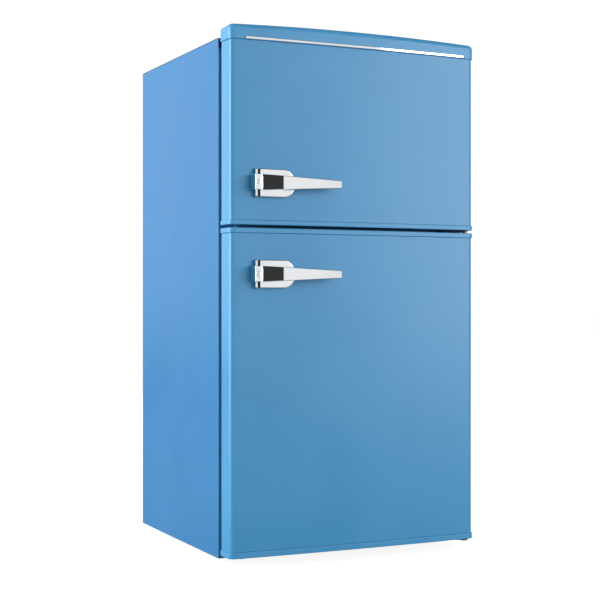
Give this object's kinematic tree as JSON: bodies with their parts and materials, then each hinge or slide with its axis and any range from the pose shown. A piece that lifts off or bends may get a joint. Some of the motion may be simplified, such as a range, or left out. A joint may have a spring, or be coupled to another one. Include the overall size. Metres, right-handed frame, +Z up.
{
  "type": "top freezer refrigerator",
  "caption": "Compact retro refrigerator: blue cabinet, small freezer door above a taller fridge door, both with chrome lever handles at the left and hinges at the right.",
  "frame": {"origin": "on the floor, under the middle of the refrigerator's overall box, handles included", "axes": "+Z up; +X to the right when facing the doors; the doors face -Y and the back panel faces +Y"},
  "size_m": [0.4482, 0.4584, 0.8605],
  "materials": {
    "blue_paint": "gloss",
    "blue_trim": "satin",
    "chrome": "polished",
    "hinge_steel": "satin",
    "zinc_sheet": "satin",
    "black_steel": "satin",
    "white_liner": "satin",
    "clear_plastic": "gloss",
    "shelf_glass": "gloss",
    "insulating_foam": "matte",
    "gasket": "matte",
    "black_rubber": "matte",
    "dark_plastic": "matte",
    "copper_tube": "satin",
    "aluminium_plate": "satin",
    "coated_wire": "satin",
    "grey_plastic": "satin"
  },
  "bodies": {
    "cabinet": {"left_side_panel": "blue_paint", "right_side_panel": "blue_paint", "top_panel": "blue_paint", "back_panel": "zinc_sheet", "base_plate": "zinc_sheet", "machine_room_panel": "zinc_sheet", "freezer_liner": "white_liner", "fridge_liner": "white_liner", "insulation_foam": "insulating_foam", "mullion_strip": "blue_paint", "top_hinge": "hinge_steel", "middle_hinge": "hinge_steel", "lower_hinge": "hinge_steel", "top_hinge_cover": "blue_trim", "rear_foot_left": "black_rubber", "rear_foot_right": "black_rubber", "compressor": "black_steel", "compressor_grommet_1": "black_rubber", "compressor_grommet_2": "black_rubber", "compressor_grommet_3": "black_rubber", "compressor_grommet_4": "black_rubber", "relay_cover": "dark_plastic", "cord_gland": "black_rubber", "discharge_tube": "copper_tube", "suction_tube": "copper_tube", "filter_drier": "copper_tube", "condenser_coil": "copper_tube", "evaporator_plate": "aluminium_plate", "drain_tray": "grey_plastic", "drain_tube": "grey_plastic", "freezer_shelf": "coated_wire", "glass_shelf": "shelf_glass", "crisper_cover": "shelf_glass", "thermostat_housing": "white_liner", "lamp_lens": "clear_plastic"},
    "freezer_door": {"freezer_door_skin": "blue_paint", "freezer_door_cap": "blue_trim", "freezer_cap_strip": "chrome", "freezer_door_sill": "blue_trim", "freezer_door_foam": "insulating_foam", "freezer_door_liner": "white_liner", "freezer_door_gasket": "gasket", "freezer_door_rack": "clear_plastic", "freezer_handle_base": "chrome", "freezer_handle_lever": "chrome"},
    "fridge_door": {"fridge_door_skin": "blue_paint", "fridge_door_head": "blue_trim", "fridge_door_sill": "blue_trim", "fridge_door_foam": "insulating_foam", "fridge_door_liner": "white_liner", "fridge_door_gasket": "gasket", "fridge_door_bottle_rack": "clear_plastic", "fridge_door_can_rack": "clear_plastic", "fridge_handle_base": "chrome", "fridge_handle_lever": "chrome"},
    "crisper": {"crisper_drawer": "clear_plastic"},
    "knob": {"thermostat_knob": "grey_plastic"},
    "switch_plunger": {"door_switch_button": "grey_plastic"},
    "left_levelling_foot": {"front_foot_left": "black_rubber"},
    "right_levelling_foot": {"front_foot_right": "black_rubber"}
  },
  "joints": [
    {"name": "freezer_door_hinge", "type": "hinge", "parent": "cabinet", "child": "freezer_door", "pos_m": [0.21275, -0.18684, 0.7], "axis": [0, 0, 1], "range_deg": [0, 100]},
    {"name": "fridge_door_hinge", "type": "hinge", "parent": "cabinet", "child": "fridge_door", "pos_m": [0.21275, -0.18684, 0.28], "axis": [0, 0, 1], "range_deg": [0, 120]},
    {"name": "crisper_slide", "type": "slide", "parent": "cabinet", "child": "crisper", "axis": [0, -1, 0], "range_m": [0, 0.033]},
    {"name": "thermostat_turn", "type": "hinge", "parent": "cabinet", "child": "knob", "pos_m": [0.14925, -0.09884, 0.4925], "axis": [0, -1, 0], "range_deg": [0, 270]},
    {"name": "door_switch_travel", "type": "slide", "parent": "cabinet", "child": "switch_plunger", "axis": [0, -1, 0], "range_m": [0, 0.006]},
    {"name": "left_foot_turn", "type": "hinge", "parent": "cabinet", "child": "left_levelling_foot", "pos_m": [-0.16425, -0.09684, 0.01], "axis": [0, 0, 1], "continuous": true},
    {"name": "right_foot_turn", "type": "hinge", "parent": "cabinet", "child": "right_levelling_foot", "pos_m": [0.16425, -0.09684, 0.01], "axis": [0, 0, 1], "continuous": true}
  ],
  "couplings": [
    {"joint": "door_switch_travel", "follows": "fridge_door_hinge", "m_per_rad": 0.00286}
  ]
}
